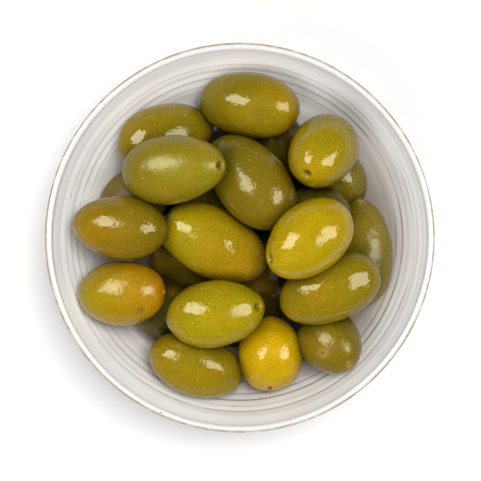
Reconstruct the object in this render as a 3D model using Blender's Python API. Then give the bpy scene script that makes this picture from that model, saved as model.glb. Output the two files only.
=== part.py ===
"""A glazed stoneware bowl heaped with whole green olives.

The bowl stands on its foot ring with the origin at the middle of that ring's
underside. +X is to the right and +Y away from someone who looks down into the
bowl. The olives are one fused heap: a plain core low in the bowl, and every
olive that shows, resting on the wall and on its neighbours.
"""

import math
from collections import namedtuple

import bmesh
import bpy
import numpy as np
from mathutils import Matrix, Vector

MM = 0.001

# Bowl, in millimetres
BOWL_RADIUS = 65.0
BOWL_HEIGHT = 52.0
RIM_WIDTH = 2.4
WALL_TOP = BOWL_HEIGHT - RIM_WIDTH / 2
WALL_AT_BASE = 2.5
FLOOR_LEVEL = 9.0
INNER_BASE_RADIUS = 47.0
INNER_CORNER = 2.8
OUTER_CORNER = 3.4
UNDERSIDE_LEVEL = 5.0
FOOT_RADIUS = 29.5
FOOT_WIDTH = 4.0
FOOT_EDGE = 0.8
FOOT_TOP = 7.2
BOWL_SIDES = 72
WALL_STEPS = 11
LIP_STEPS = 6

# Olives, in millimetres: few sides, a narrower stem end and a small stem dimple
OLIVE_SIDES = 14
OLIVE_RINGS = 8
STEM_TAPER = 0.06
STEM_DIMPLE = 0.7

# Core of the heap, in millimetres
CORE_RADIUS = 40.0
CORE_GAP = 0.8
CORE_EDGE_LEVEL = 27.0
CORE_TOP = 37.0
CORE_SIDES = 32
CORE_STEPS = 5

# How the olives settle. Each is a row of balls along its length, a little smaller than
# the olive, as its flesh gives. Each step lets it down by the drop and pulls it back
# over its place on the plan, and contacts then lift, slide and roll it.
BALLS = np.array([-1.0, -0.5, 0.0, 0.5, 1.0])
FLESH_GIVE = 0.97
GLAZE_GAP = 0.9
SETTLE_STEPS = 1500
CALM_STEPS = 400
DROP = 0.06
CALM_DROP = 0.03
PLAN_PULL = 0.25
HALF_EACH = 0.5
LIFT = 0.6
SLIDE = 0.4
ROLL = 1.2
LARGEST_ROLL = math.radians(24)
POINTS_PER_WALL_STEP = 14

# Each olive: its middle seen from above, the height it is dropped from, its length and
# width, the direction of its stem end counterclockwise from +X, and how far that end
# points up. A firm olive keeps its tilt; the others roll until they lie at rest.
Olive = namedtuple("Olive", "name east north drop length width heading tilt firm")
OLIVES = (
    Olive("under_middle_left", -17.5, -6.5, 40, 32.0, 23.5, -25, 0, False),
    Olive("under_middle_right", 6.5, -16.5, 40, 32.0, 23.0, 75, 0, False),
    Olive("under_middle_back", -10.0, 15.0, 40, 31.0, 21.5, 30, 0, False),
    Olive("low_back", 14.0, 31.0, 40, 27.0, 20.0, 100, 0, False),
    Olive("low_back_right", 33.0, 21.0, 42, 27.5, 21.0, 120, 0, False),
    Olive("low_left", -36.5, 13.0, 42, 28.5, 21.5, 50, 0, False),
    Olive("low_front_left", -26.5, -25.5, 42, 28.0, 21.5, -40, 0, False),
    Olive("low_right_middle", 25.0, 7.0, 50, 27.0, 20.5, 8, 0, False),
    Olive("right_wall", 42.0, -4.5, 46, 36.5, 20.5, 94, 0, False),
    Olive("front_right_wall", 31.0, -35.5, 54, 26.0, 20.5, 309, 48, True),
    Olive("front_left", -15.0, -43.5, 52, 33.0, 21.0, -20, 0, False),
    Olive("back_left", -25.5, 35.0, 48, 34.5, 22.5, 18, 0, False),
    Olive("long_back_middle", 3.6, 18.9, 62, 39.0, 24.0, -50, 0, False),
    Olive("left_wall", -40.0, 3.5, 64, 32.0, 21.5, 175, 0, False),
    Olive("lower_left", -39.5, -18.5, 62, 30.5, 21.8, 2, 0, False),
    Olive("long_middle", -8.5, -2.0, 62, 38.0, 24.0, -29, -6, True),
    Olive("right_middle", 30.0, -17.0, 66, 35.0, 22.5, 22, 0, False),
    Olive("front_standing", 10.5, -40.0, 54, 25.4, 22.5, 270, 8, True),
    Olive("front_middle", -8.0, -25.5, 66, 33.0, 22.5, 8, 4, True),
    Olive("back_middle", 3.0, 45.0, 56, 35.5, 22.5, -9, 0, False),
    Olive("back_right", 27.5, 28.5, 68, 32.0, 22.5, 234, 52, True),
    Olive("crown_right", 22.5, -0.5, 84, 32.5, 23.0, 218, 16, True),
    Olive("crown_left", -21.5, 22.5, 76, 36.0, 22.5, 4, 0, False),
)


def make_material(name, colour, roughness):
    """A plain surface of one colour."""
    material = bpy.data.materials.new(name)
    material.use_nodes = True
    shader = material.node_tree.nodes["Principled BSDF"]
    shader.inputs["Base Color"].default_value = (*colour, 1.0)
    shader.inputs["Roughness"].default_value = roughness
    shader.inputs["Metallic"].default_value = 0.0
    return material


def corner_curve(share, corner):
    """How far out a wall of this corner shape has come at a share of its height."""
    return (1.0 - (1.0 - share) ** corner) ** (1.0 / corner)


def inner_radius(height):
    """Radius of the bowl's inside at a height."""
    share = (height - FLOOR_LEVEL) / (WALL_TOP - FLOOR_LEVEL)
    lip_radius = BOWL_RADIUS - RIM_WIDTH
    straight = INNER_BASE_RADIUS + (lip_radius - INNER_BASE_RADIUS) * share
    return straight * corner_curve(share, INNER_CORNER)


def outer_radius(height):
    """Radius of the bowl's outside, above the foot, at a height."""
    share = (height - UNDERSIDE_LEVEL) / (WALL_TOP - UNDERSIDE_LEVEL)
    base = INNER_BASE_RADIUS + WALL_AT_BASE
    straight = base + (BOWL_RADIUS - base) * share
    return straight * corner_curve(share, OUTER_CORNER)


def wall_heights(bottom, top, corner, steps):
    """Heights up a wall, close together round its bottom corner."""
    heights = []
    for step in range(1, steps):
        left_to_climb = math.cos(0.5 * math.pi * step / steps) ** (2.0 / corner)
        heights.append(bottom + (top - bottom) * (1.0 - left_to_climb))
    return heights + [top]


def bowl_profile():
    """Radius and height pairs, from the underside's middle out, up and in again."""
    foot_inside = FOOT_RADIUS - FOOT_WIDTH
    points = [
        (0.0, UNDERSIDE_LEVEL),
        (foot_inside, UNDERSIDE_LEVEL),
        (foot_inside, FOOT_EDGE),
        (foot_inside + FOOT_EDGE, 0.0),
        (FOOT_RADIUS - FOOT_EDGE, 0.0),
        (FOOT_RADIUS, FOOT_EDGE),
        (FOOT_RADIUS, FOOT_TOP),
    ]
    for height in wall_heights(UNDERSIDE_LEVEL, WALL_TOP, OUTER_CORNER, WALL_STEPS):
        if height > FOOT_TOP:
            points.append((outer_radius(height), height))
    for step in range(1, LIP_STEPS):
        angle = math.pi * step / LIP_STEPS
        points.append((BOWL_RADIUS - RIM_WIDTH / 2 * (1.0 - math.cos(angle)),
                       WALL_TOP + RIM_WIDTH / 2 * math.sin(angle)))
    for height in reversed(wall_heights(FLOOR_LEVEL, WALL_TOP, INNER_CORNER, WALL_STEPS)):
        points.append((inner_radius(height), height))
    points.append((0.0, FLOOR_LEVEL))
    return points


def turn_profile(name, profile, sides, material):
    """A solid turned round the Z axis from a profile that starts and ends on it."""
    mesh = bmesh.new()
    corners = [mesh.verts.new((radius * MM, 0.0, height * MM)) for radius, height in profile]
    edges = [mesh.edges.new(pair) for pair in zip(corners, corners[1:])]
    bmesh.ops.spin(mesh, geom=corners + edges, cent=(0, 0, 0), axis=(0, 0, 1),
                   angle=2 * math.pi, steps=sides, use_merge=True)
    bmesh.ops.remove_doubles(mesh, verts=mesh.verts, dist=0.01 * MM)
    bmesh.ops.recalc_face_normals(mesh, faces=mesh.faces)
    return new_object(name, mesh, material)


def new_object(name, mesh, material):
    """An object of a finished mesh, shaded smooth but for its sharp edges."""
    data = bpy.data.meshes.new(name)
    mesh.to_mesh(data)
    mesh.free()
    data.materials.append(material)
    data.shade_smooth()
    data.set_sharp_from_angle(angle=math.radians(40))
    solid = bpy.data.objects.new(name, data)
    bpy.context.scene.collection.objects.link(solid)
    return solid


def make_bowl():
    """The turned bowl with its foot ring."""
    glaze = make_material("pale_glaze", (0.78, 0.76, 0.72), 0.25)
    return turn_profile("bowl", bowl_profile(), BOWL_SIDES, glaze)


def long_axes(headings, tilts):
    """Unit vectors along the olives, towards their stem ends."""
    return np.stack((np.cos(headings) * np.cos(tilts),
                     np.sin(headings) * np.cos(tilts),
                     np.sin(tilts)), axis=1)


def push_apart(balls, radii):
    """How far each olive's balls are pushed by the neighbour balls that they sink into."""
    gaps = balls[:, None, :, None, :] - balls[None, :, None, :, :]
    distances = np.linalg.norm(gaps, axis=-1)
    depths = radii[:, None, :, None] + radii[None, :, None, :] - distances
    depths[np.arange(len(balls)), np.arange(len(balls))] = 0.0
    deepest = depths.max(axis=(2, 3), keepdims=True)
    depths = np.where((depths == deepest) & (depths > 0.0), depths, 0.0)
    shares = depths / np.maximum(distances, MM) * HALF_EACH
    return (gaps * shares[..., None]).sum(axis=(1, 3))


def push_off_wall(balls, radii, wall):
    """How far each ball must move to keep its gap to the inside of the bowl."""
    plan = np.linalg.norm(balls[..., :2], axis=2)
    apart = np.stack((plan[..., None] - wall[:, 0], balls[..., 2:] - wall[:, 1]), axis=-1)
    distance = np.linalg.norm(apart, axis=-1)
    nearest = np.argmin(distance, axis=-1)
    closest = np.take_along_axis(distance, nearest[..., None], axis=-1)[..., 0]
    toward = np.take_along_axis(apart, nearest[..., None, None], axis=-2)[..., 0, :]
    depth = np.maximum(radii + GLAZE_GAP - closest, 0.0) / closest
    inward = toward[..., :1] * depth[..., None] * balls[..., :2] / plan[..., None]
    return np.concatenate((inward, toward[..., 1:] * depth[..., None]), axis=-1)


def wall_points():
    """Points down the inside of the bowl that the olives rest on."""
    steps = wall_heights(FLOOR_LEVEL, WALL_TOP, INNER_CORNER, WALL_STEPS)
    turned = [(0.0, FLOOR_LEVEL)] + [(inner_radius(height), height) for height in steps]
    along = np.linspace(0, len(turned) - 1, WALL_STEPS * POINTS_PER_WALL_STEP + 1)
    return np.stack([np.interp(along, range(len(turned)), column)
                     for column in zip(*turned)], axis=1)


def settle(olives):
    """Let the olives down until the bowl and their neighbours hold them.

    Returns their middles in millimetres and their tilts in radians.
    """
    plan = np.array([(olive.east, olive.north) for olive in olives])
    middles = np.array([(olive.east, olive.north, olive.drop) for olive in olives])
    headings = np.radians([olive.heading for olive in olives])
    tilts = np.radians([float(olive.tilt) for olive in olives])
    loose = np.array([not olive.firm for olive in olives])
    half_long = np.array([olive.length for olive in olives]) / 2
    half_wide = np.array([olive.width for olive in olives]) / 2
    focus = np.sqrt(half_long ** 2 - half_wide ** 2)
    along = np.outer(focus ** 2 / half_long, BALLS)
    full = half_wide[:, None] * np.sqrt(1.0 - (along / focus[:, None]) ** 2)
    wall = wall_points()

    for step in range(SETTLE_STEPS):
        middles[:, 2] -= DROP if step < SETTLE_STEPS - CALM_STEPS else CALM_DROP
        middles[:, :2] += (plan - middles[:, :2]) * PLAN_PULL
        axes = long_axes(headings, tilts)
        balls = middles[:, None, :] + along[..., None] * axes[:, None, :]
        pushes = push_apart(balls, full * FLESH_GIVE)
        pushes += push_off_wall(balls, full * FLESH_GIVE, wall) * HALF_EACH
        middles[:, 2] += pushes[..., 2].sum(axis=1) * LIFT
        middles[:, :2] += pushes[..., :2].sum(axis=1) * SLIDE
        lever = (pushes[..., 2] * along).sum(axis=1) * np.cos(tilts)
        rolled = tilts + ROLL * lever / half_long ** 2
        tilts = np.where(loose, np.clip(rolled, -LARGEST_ROLL, LARGEST_ROLL), tilts)

    for step in range(CALM_STEPS):
        axes = long_axes(headings, tilts)
        balls = middles[:, None, :] + along[..., None] * axes[:, None, :]
        middles += push_off_wall(balls, full, wall).mean(axis=1)
    return middles, tilts


def olive_surface(length, width, share, turn):
    """A point of an olive that lies along +X, its stem end towards +X.

    The share runs from 0 at the tip to 1 at the stem end, the turn once round it.
    """
    angle = math.pi * share
    across = width / 2 * math.sin(angle) * (1.0 + STEM_TAPER * math.cos(angle))
    return Vector((-length / 2 * math.cos(angle),
                   across * math.cos(turn),
                   across * math.sin(turn)))


def make_olive(olive, middle, tilt, material):
    """One olive of few sides in its place."""
    mesh = bmesh.new()
    rings = []
    for ring in range(1, OLIVE_RINGS + 1):
        share = ring / (OLIVE_RINGS + 1)
        turns = [2 * math.pi * (side + 0.5 * (ring % 2)) / OLIVE_SIDES
                 for side in range(OLIVE_SIDES)]
        rings.append([mesh.verts.new(olive_surface(olive.length, olive.width, share, turn))
                      for turn in turns])
    tip = mesh.verts.new((-olive.length / 2, 0.0, 0.0))
    stem = mesh.verts.new((olive.length / 2 - STEM_DIMPLE, 0.0, 0.0))
    for side in range(OLIVE_SIDES):
        following = (side + 1) % OLIVE_SIDES
        mesh.faces.new((tip, rings[0][following], rings[0][side]))
        mesh.faces.new((stem, rings[-1][side], rings[-1][following]))
        for ring in range(OLIVE_RINGS - 1):
            below, above = rings[ring], rings[ring + 1]
            shifted = following if ring % 2 == 0 else side
            steady = side if ring % 2 == 0 else following
            mesh.faces.new((below[side], below[following], above[shifted]))
            mesh.faces.new((below[steady], above[following], above[side]))
    bmesh.ops.recalc_face_normals(mesh, faces=mesh.faces)
    place = (Matrix.Translation(Vector(middle))
             @ Matrix.Rotation(math.radians(olive.heading), 4, "Z")
             @ Matrix.Rotation(-tilt, 4, "Y"))
    mesh.transform(Matrix.Scale(MM, 4) @ place)
    return new_object(olive.name, mesh, material)


def make_core(material):
    """The plain middle of the heap, which the olives cover."""
    profile = [(0.0, FLOOR_LEVEL + CORE_GAP)]
    for height in wall_heights(FLOOR_LEVEL, WALL_TOP, INNER_CORNER, WALL_STEPS):
        if inner_radius(height) < CORE_RADIUS:
            profile.append((inner_radius(height), height + CORE_GAP))
    profile.append((CORE_RADIUS, CORE_EDGE_LEVEL))
    for step in range(1, CORE_STEPS):
        angle = 0.5 * math.pi * step / CORE_STEPS
        profile.append((CORE_RADIUS * math.cos(angle),
                        CORE_EDGE_LEVEL + (CORE_TOP - CORE_EDGE_LEVEL) * math.sin(angle)))
    profile.append((0.0, CORE_TOP))
    return turn_profile("olives", profile, CORE_SIDES, material)


def fuse(body, pieces):
    """Join the pieces to the body with one union, then drop the pieces."""
    group = bpy.data.collections.new("pieces to fuse")
    bpy.context.scene.collection.children.link(group)
    for piece in pieces:
        bpy.context.scene.collection.objects.unlink(piece)
        group.objects.link(piece)
    union = body.modifiers.new("union", "BOOLEAN")
    union.operation = "UNION"
    union.solver = "EXACT"
    union.operand_type = "COLLECTION"
    union.collection = group
    bpy.context.view_layer.objects.active = body
    bpy.ops.object.modifier_apply(modifier=union.name)
    for piece in pieces:
        bpy.data.objects.remove(piece)
    bpy.data.collections.remove(group)


def keep_outer_skin(solid):
    """Fill any hollow that the union sealed and drop loose scraps."""
    mesh = bmesh.new()
    mesh.from_mesh(solid.data)
    bmesh.ops.remove_doubles(mesh, verts=mesh.verts, dist=0.01 * MM)
    skins = []
    unseen = set(mesh.verts)
    while unseen:
        skin = {unseen.pop()}
        edge_of_search = list(skin)
        while edge_of_search:
            vertex = edge_of_search.pop()
            for edge in vertex.link_edges:
                neighbour = edge.other_vert(vertex)
                if neighbour in unseen:
                    unseen.remove(neighbour)
                    skin.add(neighbour)
                    edge_of_search.append(neighbour)
        skins.append(skin)
    outer = max(skins, key=len)
    inner = [vertex for skin in skins if skin is not outer for vertex in skin]
    bmesh.ops.delete(mesh, geom=inner, context="VERTS")
    bmesh.ops.triangulate(mesh, faces=mesh.faces)
    mesh.to_mesh(solid.data)
    mesh.free()


def make_heap():
    """The core with every olive fused on."""
    skin = make_material("olive_skin", (0.30, 0.24, 0.03), 0.28)
    middles, tilts = settle(OLIVES)
    pieces = [make_olive(olive, middle, tilt, skin)
              for olive, middle, tilt in zip(OLIVES, middles, tilts)]
    heap = make_core(skin)
    fuse(heap, pieces)
    keep_outer_skin(heap)
    return heap


def main():
    for leftover in list(bpy.data.objects):
        bpy.data.objects.remove(leftover)
    make_bowl()
    make_heap()


main()
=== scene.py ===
"""The look of a dish of olives: a glazed bowl heaped with whole green olives.

Sizes are in millimetres until a mesh is made. +X is to the right and +Y to the top of
the picture, which looks straight down into the bowl.
"""

import math
from collections import namedtuple
from functools import reduce

import bpy
import numpy as np
from mathutils import Matrix, Vector, noise

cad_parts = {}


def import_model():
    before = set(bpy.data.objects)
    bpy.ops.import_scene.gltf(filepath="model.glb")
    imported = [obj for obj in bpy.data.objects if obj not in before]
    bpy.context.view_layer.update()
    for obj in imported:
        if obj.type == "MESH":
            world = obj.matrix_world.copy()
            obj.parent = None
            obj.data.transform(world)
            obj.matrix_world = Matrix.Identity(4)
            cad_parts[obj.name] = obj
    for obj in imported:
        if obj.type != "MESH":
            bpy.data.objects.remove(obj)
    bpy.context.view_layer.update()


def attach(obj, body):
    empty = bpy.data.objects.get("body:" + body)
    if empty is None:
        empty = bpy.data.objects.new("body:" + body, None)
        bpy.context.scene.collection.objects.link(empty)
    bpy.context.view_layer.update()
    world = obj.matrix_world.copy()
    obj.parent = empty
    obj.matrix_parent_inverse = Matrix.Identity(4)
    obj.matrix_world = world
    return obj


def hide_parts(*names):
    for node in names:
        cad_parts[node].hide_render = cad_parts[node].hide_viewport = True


MM = 0.001

# Bowl
BOWL_RADIUS = 65.0
BOWL_HEIGHT = 52.0
RIM_WIDTH = 2.4
WALL_TOP = BOWL_HEIGHT - RIM_WIDTH / 2
WALL_AT_BASE = 2.5
FLOOR_LEVEL = 9.0
INNER_BASE_RADIUS = 47.0
INNER_CORNER = 2.8
OUTER_CORNER = 3.4
UNDERSIDE_LEVEL = 5.0
FOOT_RADIUS = 29.5
FOOT_WIDTH = 4.0
FOOT_EDGE = 0.8
FOOT_TOP = 7.2

# Bowl mesh: sides round it, distance between rings on the wall and on the foot, steps
# over the lip, points that each side of the wall is measured with, and the lowest of them
BOWL_SIDES = 240
WALL_SPACING = 0.7
FOOT_SPACING = 1.6
LIP_STEPS = 16
OUTSIDE_POINTS = 400
INSIDE_POINTS = 800
LOWEST_ABOVE_FLOOR = 0.05

# Throwing rings in the wall: heights, half width and depth, how far each drifts up and
# down, how much of its depth comes and goes, how far round the next ring does both, and
# how far all stay off the foot and the lip
INNER_RINGS = (49.4, 46.4, 44.2, 41.8, 38.3, 35.6, 33.4, 31.4, 29.4, 27.6, 25.8, 24.0, 22.0, 20.0)
OUTER_RINGS = (47.5, 44.0, 40.0, 35.5, 31.0, 26.0, 21.0, 16.0)
RING_HALF_WIDTH = 0.75
RING_DEPTH = 0.075
RING_DRIFT = 0.5
RING_FADE = 0.25
DRIFT_TURN = 2.1
FADE_TURN = 1.3
RINGS_OFF_FOOT = 2.0
RINGS_OFF_LIP = 1.0

# Brown lines in the glaze: heights and strengths, how far from its middle a line starts
# to fade and is gone, how far it wanders, and its share at the back left
BROWN_LINES = ((41.5, 0.6), (38.4, 0.3), (35.4, 0.85), (32.4, 0.6))
LINE_CORE = 0.05
LINE_EDGE = 0.65
LINE_WANDER = 0.9
WANDER_SCALE = 30.0
LINES_AT_BACK_LEFT = 0.6

# Painted shade that darkens the glaze low in the bowl, beside the olives: where it is full and
# where it is gone, its strength, and its share at the back left
PAINTED_SHADE_BOTTOM = 20.0
PAINTED_SHADE_TOP = 46.0
PAINTED_SHADE_STRENGTH = 0.9
PAINTED_SHADE_AT_BACK_LEFT = 0.55

# From the back left of the bowl to the front right: how much of the way north counts
# beside the way east, and the two ends
FRONT_SHARE = -0.8
BACK_LEFT_END = -15.0
FRONT_RIGHT_END = 35.0

# Bare of glaze are the lip's outer edge, beyond a radius and near the wall's top, and the
# foot ring. The lip itself is greyer, fully so a little above the wall's top.
BARE_FROM = 64.1
BARE_FADE = 0.3
BARE_BELOW_WALL_TOP = 0.6
BARE_FOOT_TOP = 4.7
LIP_FADE = 0.8

# Olives: fine mesh, rings closer towards the ends, and soft lumps and ripples
OLIVE_SIDES = 64
OLIVE_RINGS = 46
RINGS_TOWARDS_ENDS = 0.6
LUMP_HEIGHT = 0.35
LUMP_SCALE = 1.4
RIPPLE_HEIGHT = 0.07
RIPPLE_SCALE = 4.0
RIPPLE_SEED = 40

# An olive's ends: a low tip, and at the stem a pit in a collar or a nub in a hollow
TIP_HEIGHT = 0.35
TIP_RADIUS = 2.0
PIT_DEPTH = 1.8
PIT_RADIUS = 1.2
COLLAR_HEIGHT = 0.16
COLLAR_RADIUS = 2.0
COLLAR_HALF_WIDTH = 0.9
NUB_HEIGHT = 0.7
NUB_RADIUS = 0.8
HOLLOW_DEPTH = 0.25
HOLLOW_RADIUS = 2.5

# Brown skin in the pit, paler on the nub and on the tip, and tan scars
PIT_MARK_RADIUS = 0.9 * PIT_RADIUS
NUB_MARK_STRENGTH = 0.5
TIP_MARK_STRENGTH = 0.4
TIP_MARK_RADIUS = 0.6
SCAR_STRENGTH = 0.8

# How far the change from the tip's tone to the stem end's wanders
TONE_WANDER = 0.35
TONE_WANDER_SCALE = 1.1
TONE_SEED = 80

# How the noise moves from one seed to the next
SEED_STEPS = (7.3, 3.1, 5.7)

# Painted shade on the skin where olives press together, most under the one on top:
# how much, how far out, how much farther under another olive, and the share beside it
CONTACT_SHADE_SHARE = 0.85
CONTACT_SHADE_REACH = 2.6
COVERED_SHADE_REACH = 3.4
CONTACT_SHADE_BESIDE = 0.5

# Painted shade low in the heap, darker lower down: full tone above one level, least below another
NO_SHADE_LEVEL = 41.0
DARKEST_SHADE_LEVEL = 25.0
DARKEST_SHADE_KEPT = 0.2

# How the olives settle. Each is a row of balls along its length, a little smaller than
# the olive, as its flesh gives, and stays this far off the glaze. Each step lets it down
# by the drop and pulls it back over its place on the plan, and contacts then lift, slide
# and roll it. The last steps are calmer.
BALLS = np.array([-1.0, -0.5, 0.0, 0.5, 1.0])
FLESH_GIVE = 0.97
GLAZE_GAP = 0.9
SETTLE_STEPS = 1500
CALM_STEPS = 400
DROP = 0.06
CALM_DROP = 0.03
PLAN_PULL = 0.25
HALF_EACH = 0.5
LIFT = 0.6
SLIDE = 0.4
ROLL = 1.2
LARGEST_ROLL = math.radians(24)
WALL_STEPS = 11
POINTS_PER_WALL_STEP = 14

# Core under the olives: a dome with soft lumps, painted near black as the shade deep in the heap
CORE_RADIUS = 38.4
CORE_EDGE_LEVEL = 19.0
CORE_TOP = 27.0
CORE_LUMP_HEIGHT = 1.2
CORE_LUMP_SCALE = 0.12
CORE_SIDES = 96
CORE_RINGS = 28

# Table
TABLE_HALF_WIDTH = 1500.0

# Camera above the rim, the picture's width there, and how near and far it sees in metres
CAMERA_HEIGHT = 600.0
CAMERA_EAST = 0.23
CAMERA_NORTH = -0.93
PICTURE_WIDTH = 160.1
SENSOR_WIDTH = 36.0
NEAREST_SEEN = 0.05
FARTHEST_SEEN = 20.0

# Softboxes that look at the bowl: azimuth, angle off the vertical, distance and size in
# metres, power in watts and tint, and whether each shines on things or mirrors in them
Softbox = namedtuple("Softbox", "name azimuth off_vertical distance size power tint shines mirrors")
WHITE = (1.0, 1.0, 1.0)
WARM = (1.0, 0.99, 0.93)
SOFTBOXES = (
    Softbox("key", 44, 11, 1.2, (0.5, 0.5), 17.8, WHITE, True, False),
    Softbox("right_softbox", 5, 47, 1.0, (0.56, 0.66), 14.0, WARM, False, True),
    Softbox("left_softbox", 152, 43, 1.0, (0.56, 0.66), 16.5, WARM, False, True),
    Softbox("left_fill", 152, 43, 1.0, (0.6, 0.6), 1.0, WHITE, True, False),
    Softbox("front_fill", 236, 33, 1.3, (0.9, 0.7), 9.0, WHITE, True, False),
)

# The level that the softboxes look at, in metres
AIM_LEVEL = 0.05

# The surround's tint, its brightness, and its brightness as wet skin mirrors it
SURROUND_TINT = (1.0, 0.99, 0.97, 1.0)
SURROUND_LEVEL = 0.22
MIRRORED_SURROUND_LEVEL = 0.12

# Noise patterns: cells to the metre, detail, the noise at which a pattern starts and is
# full, and its least and its most
Pattern = namedtuple("Pattern", "scale detail start full least most")
GLAZE_CLOUDS = Pattern(45.0, 3.0, 0.45, 0.75, 0.0, 0.35)
LINE_PATCHES = Pattern(28.0, 2.0, 0.3, 0.52, 0.0, 1.0)
RAGGED_EDGE = Pattern(320.0, 3.0, 0.3, 0.6, 0.4, 1.0)
SKIN_PATCHES = Pattern(90.0, 2.0, 0.35, 0.68, 0.0, 0.2)
RIPE_PATCHES = Pattern(75.0, 2.0, 0.5, 0.75, 0.0, 0.24)
SKIN_MOTTLE = Pattern(2000.0, 1.0, 0.36, 0.64, 0.0, 0.55)
SKIN_ROUGHNESS = Pattern(80.0, 3.0, 0.45, 0.7, 0.06, 0.16)

# Streaks round the bowl: cells to the metre across and up, detail, and the noise at which
# they start and are full
STREAK_CELLS = (7.0, 280.0)
STREAK_DETAIL = 1.0
STREAK_START = 0.42
STREAK_FULL = 0.72

# Ripe patches are shorter in height than across
RIPE_STRETCH = (1.0, 1.3)

# Plain noise: cells to the metre, and detail
BARE_GRAIN = (900.0, 2.0)
ORANGE_PEEL = (240.0, 2.0)
FINE_SKIN = (1300.0, 1.0)
COARSE_SKIN = (330.0, 2.0)
DEEP_CLOUDS = (90.0, 3.0)
DEEP_LUMPS = (200.0, 2.0)
TABLE_CLOUDS = (12.0, 2.0)

# Small round dots: cells to the metre, radius in cells, share of cells, and strength
Dots = namedtuple("Dots", "scale radius share strength")
GLAZE_SPECKS = Dots(420.0, 0.16, 0.05, 0.8)
SKIN_PORES = Dots(700.0, 0.18, 0.1, 0.5)
SKIN_FLECKS = Dots(600.0, 0.16, 0.1, 0.6)

# Fine relief of each surface: strength, and height in metres. In the skin's the coarse
# noise counts this much beside the fine.
GLAZE_RELIEF = (0.09, 0.25 * MM)
SKIN_RELIEF = (0.24, 0.2 * MM)
DEEP_RELIEF = (0.3, 0.5 * MM)
COARSE_SHARE = 5.0

# Roughness, how bare the glaze is where it starts and ends to roughen, and what dull
# skin and brown marks add
GLAZE_ROUGHNESS = 0.2
BARE_ROUGHNESS = 0.75
ROUGH_FROM = 0.2
ROUGH_TO = 0.9
DULL_ROUGHNESS = 0.22
MARK_ROUGHNESS = 0.6
DEEP_ROUGHNESS = 0.5
TABLE_ROUGHNESS = 0.9

# What lies under the skin, and how it shines
SKIN_DEPTH = {
    "IOR": 1.38,
    "Specular Tint": (1.0, 0.96, 0.72, 1.0),
    "Subsurface Weight": 0.08,
    "Subsurface Scale": 1.5 * MM,
    "Subsurface Radius": (1.0, 0.6, 0.15),
}

# Colours of glaze, core and table, as 8 bit sRGB
GLAZE_WHITE = (249, 249, 250)
GLAZE_STREAK = (230, 226, 226)
GLAZE_CLOUD = (226, 221, 216)
GLAZE_LIP = (196, 197, 197)
GLAZE_LINE = (138, 118, 92)
# Painted shade: the brownish grey that the glaze turns low in the bowl
GLAZE_PAINTED_SHADE = (128, 112, 86)
GLAZE_SPECK = (78, 80, 92)
BARE_DARK = (138, 118, 82)
BARE_PALE = (178, 158, 122)
# The core's two colours are painted shade deep in the heap
CORE_SHADE_DARK = (12, 9, 4)
CORE_SHADE_PALE = (30, 24, 9)
TABLE_PALE = (217, 216, 215)
TABLE_GREY = (214, 213, 212)

# Colours of what lies over the skin's tones, as 8 bit sRGB
PATCH_GREEN = (104, 92, 10)
PATCH_RIPE = (168, 118, 10)
MOTTLE_GREY = (196, 192, 184)
PORE_YELLOW = (222, 204, 96)
FLECK_BROWN = (66, 48, 12)
SCAR_TAN = (172, 138, 62)
MARK_BROWN = (40, 26, 8)

# Skin tones, as 8 bit sRGB. Shade, deep and dim are darker copies for olives low in the heap:
# painted shade.
TONES = {
    "lime": (164, 138, 6),
    "leaf": (150, 132, 10),
    "sage": (130, 116, 14),
    "ochre": (138, 114, 12),
    "moss": (122, 106, 12),
    "amber": (148, 114, 14),
    "rust": (160, 114, 10),
    "gold": (172, 140, 8),
    "sun": (194, 154, 4),
    "fern": (112, 100, 14),
    "dusk": (114, 94, 14),
    "dim": (88, 76, 16),
    "shade": (100, 84, 18),
    "deep": (52, 47, 16),
}

# Each olive: its middle seen from above, the height it is dropped from, its length and
# width, the direction of its stem end counterclockwise from +X, and how far that end
# points up. A firm olive keeps its tilt; the others roll until they lie at rest.
Olive = namedtuple("Olive", "name east north drop length width heading tilt firm")
OLIVES = (
    Olive("under_middle_left", -17.5, -6.5, 40, 32.0, 23.5, -25, 0, False),
    Olive("under_middle_right", 6.5, -16.5, 40, 32.0, 23.0, 75, 0, False),
    Olive("under_middle_back", -10.0, 15.0, 40, 31.0, 21.5, 30, 0, False),
    Olive("low_back", 14.0, 31.0, 40, 27.0, 20.0, 100, 0, False),
    Olive("low_back_right", 33.0, 21.0, 42, 27.5, 21.0, 120, 0, False),
    Olive("low_left", -36.5, 13.0, 42, 28.5, 21.5, 50, 0, False),
    Olive("low_front_left", -26.5, -25.5, 42, 28.0, 21.5, -40, 0, False),
    Olive("low_right_middle", 25.0, 7.0, 50, 27.0, 20.5, 8, 0, False),
    Olive("right_wall", 42.0, -4.5, 46, 36.5, 20.5, 94, 0, False),
    Olive("front_right_wall", 31.0, -35.5, 54, 26.0, 20.5, 309, 48, True),
    Olive("front_left", -15.0, -43.5, 52, 33.0, 21.0, -20, 0, False),
    Olive("back_left", -25.5, 35.0, 48, 34.5, 22.5, 18, 0, False),
    Olive("long_back_middle", 3.6, 18.9, 62, 39.0, 24.0, -50, 0, False),
    Olive("left_wall", -40.0, 3.5, 64, 32.0, 21.5, 175, 0, False),
    Olive("lower_left", -39.5, -18.5, 62, 30.5, 21.8, 2, 0, False),
    Olive("long_middle", -8.5, -2.0, 62, 38.0, 24.0, 151, 6, True),
    Olive("right_middle", 30.0, -17.0, 66, 35.0, 22.5, 22, 0, False),
    Olive("front_standing", 10.5, -40.0, 54, 25.4, 22.5, 270, 8, True),
    Olive("front_middle", -8.0, -25.5, 66, 33.0, 22.5, 8, 4, True),
    Olive("back_middle", 3.0, 45.0, 56, 35.5, 22.5, -9, 0, False),
    Olive("back_right", 27.5, 28.5, 68, 32.0, 22.5, 234, 52, True),
    Olive("crown_right", 22.5, -0.5, 84, 32.5, 23.0, 218, 16, True),
    Olive("crown_left", -21.5, 22.5, 76, 36.0, 22.5, 4, 0, False),
)

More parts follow.
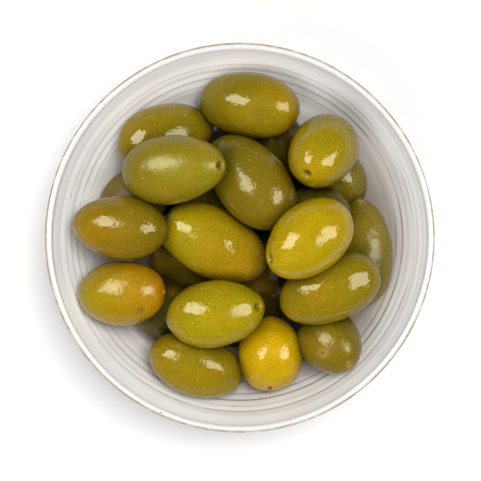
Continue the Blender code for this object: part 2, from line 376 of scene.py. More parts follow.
# How each looks: tones of its tip and stem end, what the stem end has, how far that is
# off the end upwards and to the side in degrees, how much narrower the stem end is, how
# far it bends aside in millimetres, how blunt it is, and how dull the skin is
Look = namedtuple("Look", "tip stem end lean side taper bend blunt dull")
LOOKS = {
    # The low olives take the shade, deep and dim tones: painted shade
    "under_middle_left": Look("shade", "shade", "nub", 0, 0, 0.04, 0.0, 0.0, 0.5),
    "under_middle_right": Look("deep", "deep", "nub", 0, 0, 0.04, 0.0, 0.0, 0.5),
    "under_middle_back": Look("shade", "shade", "nub", 0, 0, 0.04, 0.0, 0.0, 0.5),
    "low_back": Look("deep", "deep", "nub", 0, 0, 0.04, 0.0, 0.0, 0.3),
    "low_back_right": Look("fern", "moss", "nub", 0, 0, 0.04, 0.0, 0.0, 0.3),
    "low_left": Look("ochre", "dusk", "nub", 0, 0, 0.04, 0.0, 0.0, 1.6),
    "low_front_left": Look("deep", "deep", "nub", 0, 0, 0.04, 0.0, 0.0, 0.3),
    "low_right_middle": Look("dim", "dim", "nub", 0, 0, 0.04, 0.0, 0.0, 0.2),
    "right_wall": Look("fern", "dusk", "nub", 8, 0, 0.02, 0.5, 0.0, 0.7),
    "front_right_wall": Look("fern", "dusk", "nub", 0, 0, 0.05, 0.0, 0.0, 0.5),
    "front_left": Look("ochre", "moss", "nub", 0, 0, 0.05, -0.4, 0.0, 0.1),
    "back_left": Look("ochre", "moss", "nub", 0, 0, 0.09, 0.0, 0.0, 0.1),
    "long_back_middle": Look("fern", "dusk", "nub", 0, 0, -0.07, 0.0, 0.1, 0.3),
    "left_wall": Look("dusk", "amber", "nub", 0, 0, 0.09, 0.0, 0.0, 0.2),
    "lower_left": Look("leaf", "rust", "nub", 0, 0, 0.0, 0.0, 0.0, 0.5),
    "long_middle": Look("amber", "leaf", "nub", 0, 0, 0.02, 0.5, 0.35, 0.0),
    "right_middle": Look("ochre", "moss", "nub", 0, 0, -0.02, 0.0, 0.1, 0.0),
    "front_standing": Look("sun", "gold", "nub", 0, 0, -0.03, 0.0, 0.1, 0.3),
    "front_middle": Look("leaf", "leaf", "pit", 26, 2, 0.09, 0.4, 0.0, 0.1),
    "back_middle": Look("fern", "ochre", "nub", 0, 0, -0.02, 0.0, 0.1, 0.2),
    "back_right": Look("moss", "leaf", "pit", 0, 0, 0.07, 0.0, 0.0, 0.1),
    "crown_right": Look("lime", "lime", "pit", 10, -17, 0.07, 0.0, 0.0, 0.1),
    "crown_left": Look("moss", "sage", "pit", 12, -2, 0.13, 0.3, 0.1, 1.0),
}

# Brown marks and tan scars on single olives: how far east and north of the olive's
# middle, as seen from above, the radius, and the kind
Spot = namedtuple("Spot", "olive east north radius kind")
SPOTS = (
    Spot("lower_left", 6.6, -5.4, 0.8, "mark"),
    Spot("front_right_wall", -2.9, -3.3, 1.5, "scar"),
    Spot("front_right_wall", -2.9, -3.3, 0.6, "mark"),
    Spot("front_right_wall", 5.8, -7.3, 1.0, "scar"),
    Spot("front_standing", -0.2, -10.8, 1.6, "scar"),
    Spot("front_standing", -0.2, -11.2, 0.8, "mark"),
    Spot("right_wall", -0.6, 17.6, 1.2, "scar"),
    Spot("left_wall", -15.4, -1.5, 1.4, "scar"),
)


def from_srgb(channels):
    """A linear colour from 8 bit sRGB."""
    shares = [channel / 255 for channel in channels]
    return tuple(share / 12.92 if share <= 0.04045 else ((share + 0.055) / 1.055) ** 2.4
                 for share in shares)


def colour(channels):
    """An opaque node colour from 8 bit sRGB."""
    return (*from_srgb(channels), 1.0)


class Surface:
    """A node material with short ways to add and join its nodes."""

    def __init__(self, name):
        self.material = bpy.data.materials.new(name)
        self.material.use_nodes = True
        self.tree = self.material.node_tree
        self.shader = self.tree.nodes["Principled BSDF"]
        self.place = self.add("ShaderNodeTexCoord").outputs["Object"]

    def add(self, kind, inputs=None, **settings):
        """A new node with its settings and its inputs, which are values or sockets."""
        node = self.tree.nodes.new(kind)
        for name, value in settings.items():
            setattr(node, name, value)
        for name, value in (inputs or {}).items():
            self.put(value, node.inputs[name])
        return node

    def put(self, value, socket):
        """Link a socket, or set a plain value."""
        if isinstance(value, bpy.types.NodeSocket):
            self.tree.links.new(value, socket)
        else:
            socket.default_value = value

    def shade(self, inputs):
        """Give the shader its inputs, which are values or sockets."""
        for name, value in inputs.items():
            self.put(value, self.shader.inputs[name])

    def maths(self, operation, first, second=0.0):
        """One sum on two values."""
        return self.add("ShaderNodeMath", {0: first, 1: second}, operation=operation).outputs[0]

    def total(self, *values):
        """Values added up."""
        return reduce(lambda first, second: self.maths("ADD", first, second), values)

    def product(self, *values):
        """Values multiplied together."""
        return reduce(lambda first, second: self.maths("MULTIPLY", first, second), values)

    def spread(self, value, low, high, start=0.0, end=1.0):
        """A value's range eased onto another, and held at its ends."""
        node = self.add("ShaderNodeMapRange", {0: value, 1: low, 2: high, 3: start, 4: end},
                        interpolation_type="SMOOTHSTEP")
        return node.outputs[0]

    def cloud(self, scale, detail=2.0, vector=None):
        """Noise from 0 to 1."""
        inputs = {"Vector": vector or self.place, "Scale": scale, "Detail": detail}
        return self.add("ShaderNodeTexNoise", inputs).outputs[0]

    def pattern(self, pattern, vector=None):
        """Noise eased onto a pattern's range."""
        noises = self.cloud(pattern.scale, pattern.detail, vector)
        return self.spread(noises, pattern.start, pattern.full, pattern.least, pattern.most)

    def stretch(self, across, up):
        """The place with its width and its height scaled apart."""
        node = self.add("ShaderNodeMapping", {"Vector": self.place, "Scale": (across, across, up)})
        return node.outputs[0]

    def dots(self, dots):
        """Small round dots in a share of the cells of a grid without order."""
        cells = self.add("ShaderNodeTexVoronoi", {"Vector": self.place, "Scale": dots.scale})
        dot = self.spread(cells.outputs["Distance"], dots.radius / 2, dots.radius, 1.0, 0.0)
        chance = self.add("ShaderNodeSeparateColor", {0: cells.outputs["Color"]}).outputs[0]
        chosen = self.maths("LESS_THAN", chance, dots.share)
        return self.product(dot, chosen, dots.strength)

    def mix(self, factor, first, second, blend="MIX"):
        """Two colours mixed."""
        node = self.add("ShaderNodeMix", data_type="RGBA", blend_type=blend)
        self.put(factor, node.inputs["Factor"])
        self.put(first, node.inputs["A"])
        self.put(second, node.inputs["B"])
        return node.outputs["Result"]

    def attribute(self, name, part="Fac"):
        """A value or a colour that the mesh carries."""
        return self.add("ShaderNodeAttribute", attribute_name=name).outputs[part]

    def relief(self, height, strength, distance):
        """Fine bumps on the shader's normal."""
        node = self.add("ShaderNodeBump", {"Height": height, "Strength": strength,
                                           "Distance": distance})
        self.shade({"Normal": node.outputs[0]})


def white_glaze(surface, streaks):
    """Off white with soft streaks and clouds, greyer on the lip."""
    streaked = surface.spread(streaks, STREAK_START, STREAK_FULL)
    tint = surface.mix(streaked, colour(GLAZE_WHITE), colour(GLAZE_STREAK))
    tint = surface.mix(surface.pattern(GLAZE_CLOUDS), tint, colour(GLAZE_CLOUD))
    return surface.mix(surface.attribute("lip"), tint, colour(GLAZE_LIP))


def marked_glaze(surface, tint):
    """A tint with brown lines inside the bowl and painted shade low on its wall, both more at the
    front right.
    """
    east, north, level = surface.add("ShaderNodeSeparateXYZ", {0: surface.place}).outputs
    inside = surface.attribute("inside")
    across = surface.total(east, surface.product(north, FRONT_SHARE))
    ends = (BACK_LEFT_END * MM, FRONT_RIGHT_END * MM)

    wander = surface.product(surface.cloud(WANDER_SCALE), LINE_WANDER * MM)
    height = surface.total(level, wander)
    side = surface.spread(across, *ends, LINES_AT_BACK_LEFT, 1.0)
    shown = surface.product(inside, surface.pattern(LINE_PATCHES), side)
    for line, strength in BROWN_LINES:
        middle = (line + LINE_WANDER / 2) * MM
        off_line = surface.maths("ABSOLUTE", surface.maths("SUBTRACT", height, middle))
        band = surface.spread(off_line, LINE_CORE * MM, LINE_EDGE * MM, strength, 0.0)
        tint = surface.mix(surface.product(band, shown), tint, colour(GLAZE_LINE))

    # Painted shade: the glaze turns darker and browner low in the bowl, where the olives shade it
    painted_shade = surface.spread(level, PAINTED_SHADE_BOTTOM * MM, PAINTED_SHADE_TOP * MM, PAINTED_SHADE_STRENGTH, 0.0)
    side = surface.spread(across, *ends, PAINTED_SHADE_AT_BACK_LEFT, 1.0)
    return surface.mix(surface.product(painted_shade, side, inside), tint, colour(GLAZE_PAINTED_SHADE))


def glaze_material():
    """Off white glaze with soft streaks, thin brown lines, painted shade low inside, specks and a
    bare tan edge.
    """
    surface = Surface("pale_glaze")
    streaks = surface.cloud(1.0, STREAK_DETAIL, surface.stretch(*STREAK_CELLS))
    tint = marked_glaze(surface, white_glaze(surface, streaks))
    tint = surface.mix(surface.dots(GLAZE_SPECKS), tint, colour(GLAZE_SPECK))
    bare = surface.product(surface.attribute("bare"), surface.pattern(RAGGED_EDGE))
    grain = surface.mix(surface.cloud(*BARE_GRAIN), colour(BARE_DARK), colour(BARE_PALE))
    rough = surface.spread(bare, ROUGH_FROM, ROUGH_TO, GLAZE_ROUGHNESS, BARE_ROUGHNESS)
    surface.shade({"Base Color": surface.mix(bare, tint, grain), "Roughness": rough})
    surface.relief(surface.total(surface.cloud(*ORANGE_PEEL), streaks), *GLAZE_RELIEF)
    return surface.material


def skin_tint(surface):
    """The olive's tone, painted shade included, with patches, mottling, pale pores, flecks, scars
    and marks.
    """
    tint = surface.attribute("tone", "Color")
    tint = surface.mix(surface.pattern(SKIN_PATCHES), tint, colour(PATCH_GREEN))
    ripe = surface.pattern(RIPE_PATCHES, surface.stretch(*RIPE_STRETCH))
    tint = surface.mix(ripe, tint, colour(PATCH_RIPE))
    tint = surface.mix(surface.pattern(SKIN_MOTTLE), tint, colour(MOTTLE_GREY), "MULTIPLY")
    tint = surface.mix(surface.dots(SKIN_PORES), tint, colour(PORE_YELLOW))
    tint = surface.mix(surface.dots(SKIN_FLECKS), tint, colour(FLECK_BROWN))
    tint = surface.mix(surface.attribute("scar"), tint, colour(SCAR_TAN))
    return surface.mix(surface.attribute("mark"), tint, colour(MARK_BROWN))


def skin_material():
    """Wet olive skin over soft flesh, rougher where it is dull or has a brown mark."""
    surface = Surface("olive_skin")
    dull = surface.product(surface.attribute("dull"), DULL_ROUGHNESS)
    marked = surface.product(surface.attribute("mark"), MARK_ROUGHNESS)
    rough = surface.total(surface.pattern(SKIN_ROUGHNESS), dull, marked)
    surface.shade({"Base Color": skin_tint(surface), "Roughness": rough, **SKIN_DEPTH})
    coarse = surface.product(surface.cloud(*COARSE_SKIN), COARSE_SHARE)
    surface.relief(surface.total(surface.cloud(*FINE_SKIN), coarse), *SKIN_RELIEF)
    return surface.material


def shadow_material():
    """Olives deep in the heap, painted near black as the shade between the upper ones."""
    surface = Surface("deep_olives_painted_shade")
    tint = surface.mix(surface.cloud(*DEEP_CLOUDS), colour(CORE_SHADE_DARK), colour(CORE_SHADE_PALE))
    surface.shade({"Base Color": tint, "Roughness": DEEP_ROUGHNESS})
    surface.relief(surface.cloud(*DEEP_LUMPS), *DEEP_RELIEF)
    return surface.material


def floor_material():
    """Plain white table."""
    surface = Surface("white_table")
    tint = surface.mix(surface.cloud(*TABLE_CLOUDS), colour(TABLE_PALE), colour(TABLE_GREY))
    surface.shade({"Base Color": tint, "Roughness": TABLE_ROUGHNESS})
    return surface.material


def new_piece(name, corners, faces, material, values=None, colours=None):
    """A smooth object from corners in millimetres, with the values its corners carry."""
    data = bpy.data.meshes.new(name)
    data.from_pydata((np.asarray(corners) * MM).tolist(), [], faces)
    for label, numbers in (values or {}).items():
        layer = data.attributes.new(label, "FLOAT", "POINT")
        layer.data.foreach_set("value", np.asarray(numbers, dtype=np.float32))
    for label, numbers in (colours or {}).items():
        layer = data.attributes.new(label, "FLOAT_COLOR", "POINT")
        layer.data.foreach_set("color", np.asarray(numbers, dtype=np.float32).ravel())
    data.materials.append(material)
    data.shade_smooth()
    piece = bpy.data.objects.new(name, data)
    bpy.context.scene.collection.objects.link(piece)
    return piece


def wrap_faces(rings, sides, first=0):
    """Four sided faces between rings of corners that run round an axis."""
    faces = []
    for ring in range(rings - 1):
        for side in range(sides):
            low = first + ring * sides
            high = low + sides
            following = (side + 1) % sides
            faces.append((low + side, low + following, high + following, high + side))
    return faces


def cap_faces(pole, first, sides):
    """Triangles between a pole and a ring of corners."""
    return [(pole, first + side, first + (side + 1) % sides) for side in range(sides)]


def closed_faces(rings, sides, first=0):
    """Faces of a closed form: a pole, its rings of corners, and the other pole."""
    start = first + 1
    last = start + (rings - 1) * sides
    pole = start + rings * sides
    faces = wrap_faces(rings, sides, start)
    faces += [face[::-1] for face in cap_faces(first, start, sides)]
    return faces + cap_faces(pole, last, sides)


def corner_curve(share, corner):
    """How far out a wall of this corner shape has come at a share of its height."""
    return (1.0 - (1.0 - share) ** corner) ** (1.0 / corner)


def inner_radius(height):
    """Radius of the bowl's inside at a height."""
    share = (height - FLOOR_LEVEL) / (WALL_TOP - FLOOR_LEVEL)
    lip_radius = BOWL_RADIUS - RIM_WIDTH
    straight = INNER_BASE_RADIUS + (lip_radius - INNER_BASE_RADIUS) * share
    return straight * corner_curve(share, INNER_CORNER)


def outer_radius(height):
    """Radius of the bowl's outside, above the foot, at a height."""
    share = (height - UNDERSIDE_LEVEL) / (WALL_TOP - UNDERSIDE_LEVEL)
    base = INNER_BASE_RADIUS + WALL_AT_BASE
    straight = base + (BOWL_RADIUS - base) * share
    return straight * corner_curve(share, OUTER_CORNER)


def wall_heights(bottom, top, corner, steps):
    """Heights up a wall, close together round its bottom corner."""
    heights = []
    for step in range(1, steps):
        left_to_climb = math.cos(0.5 * math.pi * step / steps) ** (2.0 / corner)
        heights.append(bottom + (top - bottom) * (1.0 - left_to_climb))
    return heights + [top]


def even_points(points, spacing):
    """Points spaced evenly along a line of points."""
    points = np.array(points)
    lengths = np.linalg.norm(np.diff(points, axis=0), axis=1)
    along = np.concatenate(([0.0], np.cumsum(lengths)))
    stops = np.linspace(0.0, along[-1], max(2, round(along[-1] / spacing) + 1))
    return np.stack([np.interp(stops, along, column) for column in points.T], axis=1)


def foot_outline():
    """The profile from the underside's middle round the foot ring."""
    foot_inside = FOOT_RADIUS - FOOT_WIDTH
    return [(0.0, UNDERSIDE_LEVEL), (foot_inside, UNDERSIDE_LEVEL), (foot_inside, FOOT_EDGE),
            (foot_inside + FOOT_EDGE, 0.0), (FOOT_RADIUS - FOOT_EDGE, 0.0),
            (FOOT_RADIUS, FOOT_EDGE), (FOOT_RADIUS, FOOT_TOP)]


def bowl_outline():
    """The bowl's profile from the underside's middle to the inside's, and its top's number."""
    foot = foot_outline()
    outside = [(outer_radius(height), height)
               for height in np.linspace(FOOT_TOP, WALL_TOP, OUTSIDE_POINTS) if height > FOOT_TOP]
    turns = np.linspace(0.0, math.pi, LIP_STEPS + 1)
    lip = [(BOWL_RADIUS - RIM_WIDTH / 2 * (1.0 - math.cos(turn)),
            WALL_TOP + RIM_WIDTH / 2 * math.sin(turn)) for turn in turns]
    lowest = FLOOR_LEVEL + LOWEST_ABOVE_FLOOR
    inside = [(inner_radius(height), height)
              for height in np.geomspace(WALL_TOP, lowest, INSIDE_POINTS)]
    runs = (even_points(foot, FOOT_SPACING), even_points(foot[-1:] + outside, WALL_SPACING),
            np.array(lip), even_points(inside, WALL_SPACING))
    profile = np.concatenate([run[:-1] for run in runs] + [runs[-1][-1:], [(0.0, FLOOR_LEVEL)]])
    return profile, len(runs[0]) + len(runs[1]) - 2 + LIP_STEPS // 2


def ring_relief(heights, turns, rings):
    """Depth of the throwing rings, for each height and each turn."""
    depth = np.zeros((len(heights), len(turns)))
    for order, ring in enumerate(rings):
        drift = RING_DRIFT * np.sin(turns + DRIFT_TURN * order)
        off_ring = heights[:, None] - ring - drift[None, :]
        strength = 1.0 - RING_FADE + RING_FADE * np.sin(2 * turns + FADE_TURN * order)
        depth += RING_DEPTH * strength * np.exp(-(off_ring / RING_HALF_WIDTH) ** 2)
    return depth


def spread_values(numbers, sides):
    """One value for each profile point, repeated round the rings between the two poles."""
    numbers = np.asarray(numbers, dtype=float)
    return np.concatenate((numbers[:1], np.repeat(numbers[1:-1], sides), numbers[-1:]))


def glaze_values(radii, heights, inside):
    """What the glaze needs at each profile point: inside, bare of glaze, and on the lip."""
    at_top = heights > WALL_TOP - BARE_BELOW_WALL_TOP
    lip_edge = np.clip((radii - BARE_FROM) / BARE_FADE, 0.0, 1.0) * at_top
    bare = np.maximum(lip_edge, heights < BARE_FOOT_TOP) * ~inside
    lip = np.clip((heights - WALL_TOP) / LIP_FADE, 0.0, 1.0)
    return {"inside": inside, "bare": bare, "lip": lip}


def make_bowl(material):
    """The turned bowl with its throwing rings."""
    profile, top = bowl_outline()
    turns = np.linspace(0.0, 2 * math.pi, BOWL_SIDES, endpoint=False)
    radii, heights = profile[:, 0], profile[:, 1]
    inside = np.arange(len(profile)) > top
    on_wall = (heights > FOOT_TOP + RINGS_OFF_FOOT) & (heights < WALL_TOP - RINGS_OFF_LIP)
    grooves = np.where(inside[:, None], ring_relief(heights, turns, INNER_RINGS),
                       -ring_relief(heights, turns, OUTER_RINGS))
    reach = radii[:, None] + np.where(on_wall[:, None], grooves, 0.0)
    rings = np.stack((reach * np.cos(turns), reach * np.sin(turns),
                      np.broadcast_to(heights[:, None], reach.shape)), axis=-1)[1:-1]
    corners = np.concatenate(([(0.0, 0.0, UNDERSIDE_LEVEL)], rings.reshape(-1, 3),
                              [(0.0, 0.0, FLOOR_LEVEL)]))
    values = {label: spread_values(numbers, BOWL_SIDES)
              for label, numbers in glaze_values(radii, heights, inside).items()}
    faces = closed_faces(len(rings), BOWL_SIDES)
    return new_piece("glazed_bowl", corners, faces, material, values)


def long_axes(headings, tilts):
    """Unit vectors along the olives, towards their stem ends."""
    return np.stack((np.cos(headings) * np.cos(tilts),
                     np.sin(headings) * np.cos(tilts),
                     np.sin(tilts)), axis=1)


def push_apart(balls, radii):
    """How far each olive's balls are pushed by the neighbour balls that they sink into."""
    gaps = balls[:, None, :, None, :] - balls[None, :, None, :, :]
    distances = np.linalg.norm(gaps, axis=-1)
    depths = radii[:, None, :, None] + radii[None, :, None, :] - distances
    depths[np.arange(len(balls)), np.arange(len(balls))] = 0.0
    deepest = depths.max(axis=(2, 3), keepdims=True)
    depths = np.where((depths == deepest) & (depths > 0.0), depths, 0.0)
    shares = depths / np.maximum(distances, MM) * HALF_EACH
    return (gaps * shares[..., None]).sum(axis=(1, 3))


def push_off_wall(balls, radii, wall):
    """How far each ball must move to keep its gap to the inside of the bowl."""
    plan = np.linalg.norm(balls[..., :2], axis=2)
    apart = np.stack((plan[..., None] - wall[:, 0], balls[..., 2:] - wall[:, 1]), axis=-1)
    distance = np.linalg.norm(apart, axis=-1)
    nearest = np.argmin(distance, axis=-1)
    closest = np.take_along_axis(distance, nearest[..., None], axis=-1)[..., 0]
    toward = np.take_along_axis(apart, nearest[..., None, None], axis=-2)[..., 0, :]
    depth = np.maximum(radii + GLAZE_GAP - closest, 0.0) / closest
    inward = toward[..., :1] * depth[..., None] * balls[..., :2] / plan[..., None]
    return np.concatenate((inward, toward[..., 1:] * depth[..., None]), axis=-1)


def wall_points():
    """Points down the inside of the bowl that the olives rest on."""
    steps = wall_heights(FLOOR_LEVEL, WALL_TOP, INNER_CORNER, WALL_STEPS)
    turned = [(0.0, FLOOR_LEVEL)] + [(inner_radius(height), height) for height in steps]
    along = np.linspace(0, len(turned) - 1, WALL_STEPS * POINTS_PER_WALL_STEP + 1)
    return np.stack([np.interp(along, range(len(turned)), column)
                     for column in zip(*turned)], axis=1)


def ball_rows(olives):
    """Where each olive's balls are along its length, and how large they are."""
    half_long = np.array([olive.length for olive in olives]) / 2
    half_wide = np.array([olive.width for olive in olives]) / 2
    focus = np.sqrt(half_long ** 2 - half_wide ** 2)
    along = np.outer(focus ** 2 / half_long, BALLS)
    return along, half_wide[:, None] * np.sqrt(1.0 - (along / focus[:, None]) ** 2)


def ball_places(olives, middles, tilts):
    """Where each olive's balls are in the bowl."""
    along, _ = ball_rows(olives)
    axes = long_axes(np.radians([olive.heading for olive in olives]), tilts)
    return middles[:, None, :] + along[..., None] * axes[:, None, :]


def settle(olives):
    """Let the olives down until the bowl and their neighbours hold them.

    Returns their middles in millimetres and their tilts in radians.
    """
    plan = np.array([(olive.east, olive.north) for olive in olives])
    middles = np.array([(olive.east, olive.north, olive.drop) for olive in olives])
    tilts = np.radians([float(olive.tilt) for olive in olives])
    loose = np.array([not olive.firm for olive in olives])
    half_long = np.array([olive.length for olive in olives]) / 2
    along, full = ball_rows(olives)
    wall = wall_points()

    for step in range(SETTLE_STEPS):
        middles[:, 2] -= DROP if step < SETTLE_STEPS - CALM_STEPS else CALM_DROP
        middles[:, :2] += (plan - middles[:, :2]) * PLAN_PULL
        balls = ball_places(olives, middles, tilts)
        pushes = push_apart(balls, full * FLESH_GIVE)
        pushes += push_off_wall(balls, full * FLESH_GIVE, wall) * HALF_EACH
        middles[:, 2] += pushes[..., 2].sum(axis=1) * LIFT
        middles[:, :2] += pushes[..., :2].sum(axis=1) * SLIDE
        lever = (pushes[..., 2] * along).sum(axis=1) * np.cos(tilts)
        rolled = tilts + ROLL * lever / half_long ** 2
        tilts = np.where(loose, np.clip(rolled, -LARGEST_ROLL, LARGEST_ROLL), tilts)

    for _ in range(CALM_STEPS):
        balls = ball_places(olives, middles, tilts)
        middles += push_off_wall(balls, full, wall).mean(axis=1)
    return middles, tilts


def soft_noise(directions, scale, seed):
    """Smooth noise over directions, the same for the same seed."""
    shift = Vector([step * seed for step in SEED_STEPS])
    return np.array([noise.noise(Vector(direction) * scale + shift) for direction in directions])


def bump(distances, radius):
    """A smooth bump of height one that fades over a radius."""
    return np.exp(-(distances / radius) ** 2)


def olive_directions():
    """Directions from an olive's middle to its corners, from the tip to the stem end."""
    shares = np.linspace(0.0, 1.0, OLIVE_RINGS + 2)
    angles = math.pi * (shares - RINGS_TOWARDS_ENDS * np.sin(2 * math.pi * shares) / (2 * math.pi))
    turns = np.linspace(0.0, 2 * math.pi, OLIVE_SIDES, endpoint=False)
    angle, turn = np.meshgrid(angles[1:-1], turns, indexing="ij")
    angle = np.concatenate(([0.0], angle.ravel(), [math.pi]))
    turn = np.concatenate(([0.0], turn.ravel(), [0.0]))
    return np.stack((-np.cos(angle), np.sin(angle) * np.cos(turn),
                     np.sin(angle) * np.sin(turn)), axis=1)


def end_relief(look, directions, half_wide):
    """Height of the tip and of the stem end's pit or nub, and how brown the skin is there."""
    lean, side = math.radians(look.lean), math.radians(look.side)
    stem_point = np.array((math.cos(lean) * math.cos(side), math.cos(lean) * math.sin(side),
                           math.sin(lean)))
    from_stem = np.arccos(np.clip(directions @ stem_point, -1.0, 1.0)) * half_wide
    from_tip = np.arccos(np.clip(-directions[:, 0], -1.0, 1.0)) * half_wide
    heights = TIP_HEIGHT * bump(from_tip, TIP_RADIUS)
    if look.end == "pit":
        heights += COLLAR_HEIGHT * bump(from_stem - COLLAR_RADIUS, COLLAR_HALF_WIDTH)
        heights -= PIT_DEPTH * bump(from_stem, PIT_RADIUS)
        marks = bump(from_stem, PIT_MARK_RADIUS)
    else:
        heights += NUB_HEIGHT * bump(from_stem, NUB_RADIUS)
        heights -= HOLLOW_DEPTH * bump(from_stem, HOLLOW_RADIUS)
        marks = NUB_MARK_STRENGTH * bump(from_stem, NUB_RADIUS)
    marks += TIP_MARK_STRENGTH * bump(from_tip, TIP_MARK_RADIUS)
    return heights, np.clip(marks, 0.0, 1.0)


def olive_form(olive, look, directions, seed):
    """Corners of one olive along +X, and how brown each is."""
    half = np.array([olive.length, olive.width, olive.width]) / 2
    toward_stem = np.maximum(directions[:, 0], 0.0)
    girth = 1.0 - look.taper * directions[:, 0] + look.blunt * toward_stem ** 4
    corners = directions * half * np.stack((np.ones_like(girth), girth, girth), axis=1)
    corners[:, 1] += look.bend * toward_stem ** 2

    lumps, marks = end_relief(look, directions, half[1])
    lumps += LUMP_HEIGHT * soft_noise(directions, LUMP_SCALE, seed)
    lumps += RIPPLE_HEIGHT * soft_noise(directions, RIPPLE_SCALE, seed + RIPPLE_SEED)
    outward = directions / half
    outward /= np.linalg.norm(outward, axis=1, keepdims=True)
    return corners + outward * lumps[:, None], marks


def blended_tones(look, directions, seed):
    """The tone of each corner, from the tip's to the stem end's."""
    share = (1.0 + directions[:, 0]) / 2
    share += TONE_WANDER * soft_noise(directions, TONE_WANDER_SCALE, seed + TONE_SEED)
    share = np.clip(share, 0.0, 1.0)[:, None]
    tip_tone = np.array(from_srgb(TONES[look.tip]))
    stem_tone = np.array(from_srgb(TONES[look.stem]))
    return tip_tone * (1.0 - share) + stem_tone * share


def add_spots(name, corners, marks):
    """An olive's brown marks with its single ones added, and its scars."""
    scars = np.zeros(len(corners))
    for spot in SPOTS:
        if spot.olive == name:
            beside = np.hypot(corners[:, 0] - spot.east, corners[:, 1] - spot.north)
            shape = bump(beside, spot.radius) * (corners[:, 2] > 0.0)
            if spot.kind == "mark":
                marks = np.maximum(marks, shape)
            else:
                scars = np.maximum(scars, SCAR_STRENGTH * shape)
    return marks, scars


def contact_shade_shares(corners, balls, radii, own):
    """How much painted shade each corner of one olive gets from lying close to and under the
    others, from 0 to 1.
    """
    most = np.zeros(len(corners))
    for other, (places, sizes) in enumerate(zip(balls, radii)):
        if other != own:
            for place, size in zip(places, sizes):
                apart = np.maximum(np.linalg.norm(corners - place, axis=1) - size, 0.0)
                under = np.clip((place[2] - corners[:, 2]) / size, 0.0, 1.0)
                near = bump(apart, CONTACT_SHADE_REACH + COVERED_SHADE_REACH * under)
                covered = CONTACT_SHADE_BESIDE + (1.0 - CONTACT_SHADE_BESIDE) * under
                most = np.maximum(most, near * covered)
    return most


def unshaded_share(corners, balls, radii, own):
    """How much of its tone each corner keeps under painted shade, low in the heap and beside its
    neighbours.
    """
    raised = (corners[:, 2] - DARKEST_SHADE_LEVEL) / (NO_SHADE_LEVEL - DARKEST_SHADE_LEVEL)
    lit = DARKEST_SHADE_KEPT + (1.0 - DARKEST_SHADE_KEPT) * np.clip(raised, 0.0, 1.0)
    return (1.0 - CONTACT_SHADE_SHARE * contact_shade_shares(corners, balls, radii, own)) * lit


def make_olives(material):
    """Every olive in its place, as one piece."""
    middles, tilts = settle(OLIVES)
    balls = ball_places(OLIVES, middles, tilts)
    _, radii = ball_rows(OLIVES)
    directions = olive_directions()
    placed, faces = [], []
    values = {"mark": [], "scar": [], "dull": []}
    shaded_tones = []
    for order, (olive, middle, tilt) in enumerate(zip(OLIVES, middles, tilts)):
        look = LOOKS[olive.name]
        corners, marks = olive_form(olive, look, directions, order + 1)
        turned = (Matrix.Rotation(math.radians(olive.heading), 3, "Z")
                  @ Matrix.Rotation(-tilt, 3, "Y"))
        corners = corners @ np.array(turned).T
        marks, scars = add_spots(olive.name, corners, marks)
        corners += middle
        tones = blended_tones(look, directions, order + 1)
        # Painted shade: tones darker low in the heap and where olives press together
        tones *= unshaded_share(corners, balls, radii, order)[:, None]
        values["mark"].append(marks)
        values["scar"].append(scars)
        values["dull"].append(np.full(len(corners), look.dull))
        shaded_tones.append(np.column_stack((tones, np.ones(len(tones)))))
        own_faces = closed_faces(OLIVE_RINGS, OLIVE_SIDES, order * len(directions))
        faces += [face[::-1] for face in own_faces]
        placed.append(corners)
    values = {label: np.concatenate(parts) for label, parts in values.items()}
    return new_piece("olives_whole", np.concatenate(placed), faces, material, values,
                     {"tone": np.concatenate(shaded_tones)})


def make_core(material):
    """A lumpy dome, painted near black as shade, that closes the view between the olives."""
    corners = [(0.0, 0.0, CORE_TOP)]
    for ring in range(1, CORE_RINGS + 1):
        share = ring / CORE_RINGS
        for side in range(CORE_SIDES):
            turn = 2 * math.pi * side / CORE_SIDES
            east = CORE_RADIUS * share * math.cos(turn)
            north = CORE_RADIUS * share * math.sin(turn)
            lump = CORE_LUMP_HEIGHT * noise.noise(Vector((east, north, 0.0)) * CORE_LUMP_SCALE)
            level = CORE_EDGE_LEVEL + (CORE_TOP - CORE_EDGE_LEVEL) * (1.0 - share ** 2) + lump
            corners.append((east, north, level))
    faces = [face[::-1] for face in wrap_faces(CORE_RINGS, CORE_SIDES, 1)]
    faces += cap_faces(0, 1, CORE_SIDES)
    return new_piece("heap_core", corners, faces, material)


def make_floor():
    """The white table."""
    half = TABLE_HALF_WIDTH
    corners = [(-half, -half, 0.0), (half, -half, 0.0), (half, half, 0.0), (-half, half, 0.0)]
    return new_piece("white_table", corners, [(0, 1, 2, 3)], floor_material())


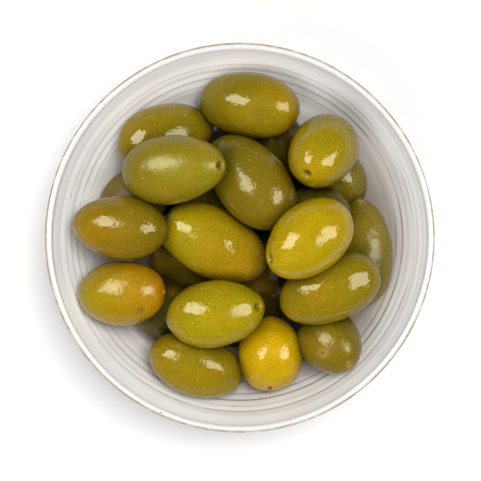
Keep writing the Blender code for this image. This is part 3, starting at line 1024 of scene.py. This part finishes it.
def add_softbox(softbox):
    """A square light that looks at the bowl."""
    light = bpy.data.lights.new(softbox.name, "AREA")
    light.shape = "RECTANGLE"
    light.size, light.size_y = softbox.size
    light.energy = softbox.power
    light.color = softbox.tint
    lamp = bpy.data.objects.new(softbox.name, light)
    around, down = math.radians(softbox.azimuth), math.radians(softbox.off_vertical)
    toward = Vector((math.sin(down) * math.cos(around), math.sin(down) * math.sin(around),
                     math.cos(down)))
    lamp.location = Vector((0.0, 0.0, AIM_LEVEL)) + toward * softbox.distance
    lamp.rotation_euler = toward.to_track_quat("Z", "Y").to_euler()
    lamp.visible_diffuse = softbox.shines
    lamp.visible_glossy = softbox.mirrors
    bpy.context.scene.collection.objects.link(lamp)


def add_surround():
    """A pale surround, darker where wet skin mirrors it."""
    world = bpy.data.worlds.new("pale_surround")
    world.use_nodes = True
    nodes, links = world.node_tree.nodes, world.node_tree.links
    background = nodes["Background"]
    background.inputs["Color"].default_value = SURROUND_TINT
    ray = nodes.new("ShaderNodeLightPath")
    level = nodes.new("ShaderNodeMapRange")
    level.inputs["To Min"].default_value = SURROUND_LEVEL
    level.inputs["To Max"].default_value = MIRRORED_SURROUND_LEVEL
    links.new(ray.outputs["Is Glossy Ray"], level.inputs["Value"])
    links.new(level.outputs["Result"], background.inputs["Strength"])
    bpy.context.scene.world = world


def place_camera():
    """Straight above the bowl, with the picture's top to the back."""
    camera = bpy.data.cameras.new("top_camera")
    camera.sensor_width = SENSOR_WIDTH
    camera.lens = SENSOR_WIDTH * CAMERA_HEIGHT / PICTURE_WIDTH
    camera.clip_start = NEAREST_SEEN
    camera.clip_end = FARTHEST_SEEN
    holder = bpy.data.objects.new("top_camera", camera)
    holder.location = Vector((CAMERA_EAST, CAMERA_NORTH, BOWL_HEIGHT + CAMERA_HEIGHT)) * MM
    bpy.context.scene.collection.objects.link(holder)
    bpy.context.scene.camera = holder


def main():
    """The olives and their bowl around the loaded part, on a table, lit and seen from above."""
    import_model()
    bpy.context.scene.view_settings.view_transform = "Standard"

    bowl = make_bowl(glaze_material())
    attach(bowl, "root")
    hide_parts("bowl")

    olives = make_olives(skin_material())
    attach(olives, "root")
    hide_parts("olives")

    core = make_core(shadow_material())
    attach(core, "root")

    make_floor()
    for softbox in SOFTBOXES:
        add_softbox(softbox)
    add_surround()
    place_camera()


main()
